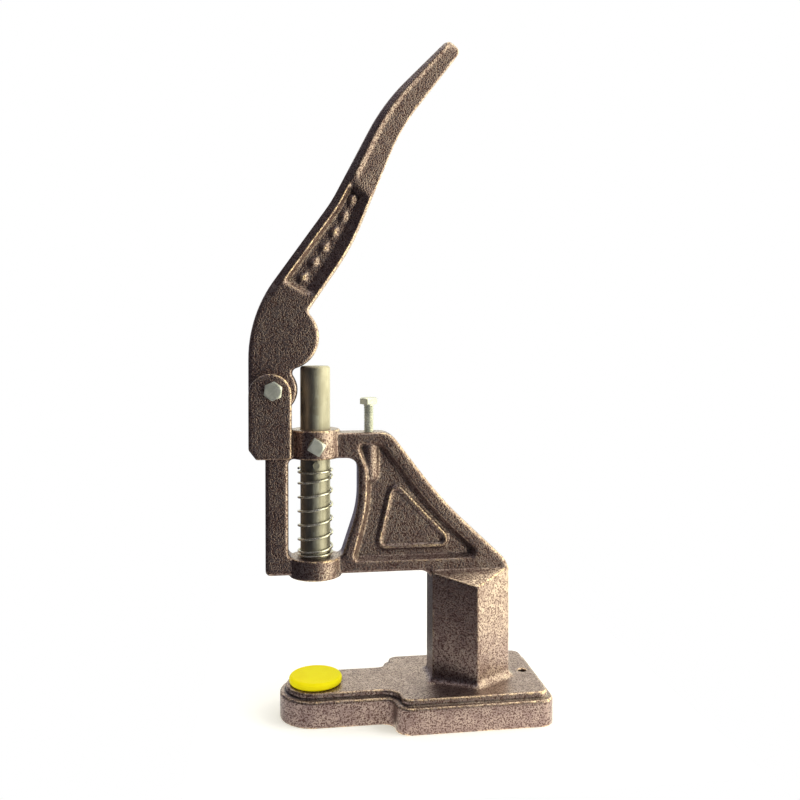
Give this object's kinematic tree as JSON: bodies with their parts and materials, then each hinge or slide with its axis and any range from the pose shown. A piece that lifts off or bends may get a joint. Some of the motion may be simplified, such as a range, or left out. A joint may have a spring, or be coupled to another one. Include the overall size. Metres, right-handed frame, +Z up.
{
  "type": "hand lever press",
  "caption": "Bench hand press for buttons, snaps and eyelets: cast C-frame, swinging lever with a cam lobe, spring-returned round ram and a disc on the anvil.",
  "frame": {"origin": "on the base's underside, directly below the ram's axis", "axes": "+Z up along the ram, +X from the anvil back to the column, +Y to the left of an operator who faces the anvil"},
  "size_m": [0.1792, 0.076, 0.4092],
  "materials": {
    "hammertone_frame": "brown hammertone paint on cast iron",
    "hammertone_lever": "brown hammertone paint on cast iron",
    "zinc_plated": "zinc-plated steel",
    "ram_steel": "bright drawn steel with a light film of oil",
    "spring_wire": "bright spring wire",
    "yellow_plastic": "glossy yellow plastic"
  },
  "bodies": {
    "frame": {"frame_casting": "hammertone_frame", "pivot_bolt": "zinc_plated", "pivot_washer": "zinc_plated", "pivot_nut": "zinc_plated", "ram_screw": "zinc_plated", "return_spring": "spring_wire"},
    "lever": {"hand_lever": "hammertone_lever"},
    "ram": {"ram": "ram_steel", "spring_pin": "ram_steel"},
    "stop_bolt": {"stop_bolt": "zinc_plated"},
    "anvil_disc": {"anvil_disc": "yellow_plastic"}
  },
  "joints": [
    {"name": "lever_swing", "type": "hinge", "parent": "frame", "child": "lever", "pos_m": [-0.0252, 0, 0.1975], "axis": [0, 1, 0], "range_deg": [0, 68]},
    {"name": "ram_slide", "type": "slide", "parent": "frame", "child": "ram", "axis": [0, 0, -1], "range_m": [0, 0.0293], "stiffness_N_per_m": 750, "springref_m": -0.0213, "deforming": ["return_spring"]},
    {"name": "stop_bolt_adjust", "type": "slide", "parent": "frame", "child": "stop_bolt", "axis": [0, 0, -1], "range_m": [0, 0.012]},
    {"name": "disc_lift", "type": "slide", "parent": "frame", "child": "anvil_disc", "axis": [0, 0, 1], "range_m": [0, 0.03]}
  ],
  "couplings": [
    {"joint": "ram_slide", "follows": "lever_swing", "m_per_rad": 0.024687}
  ]
}
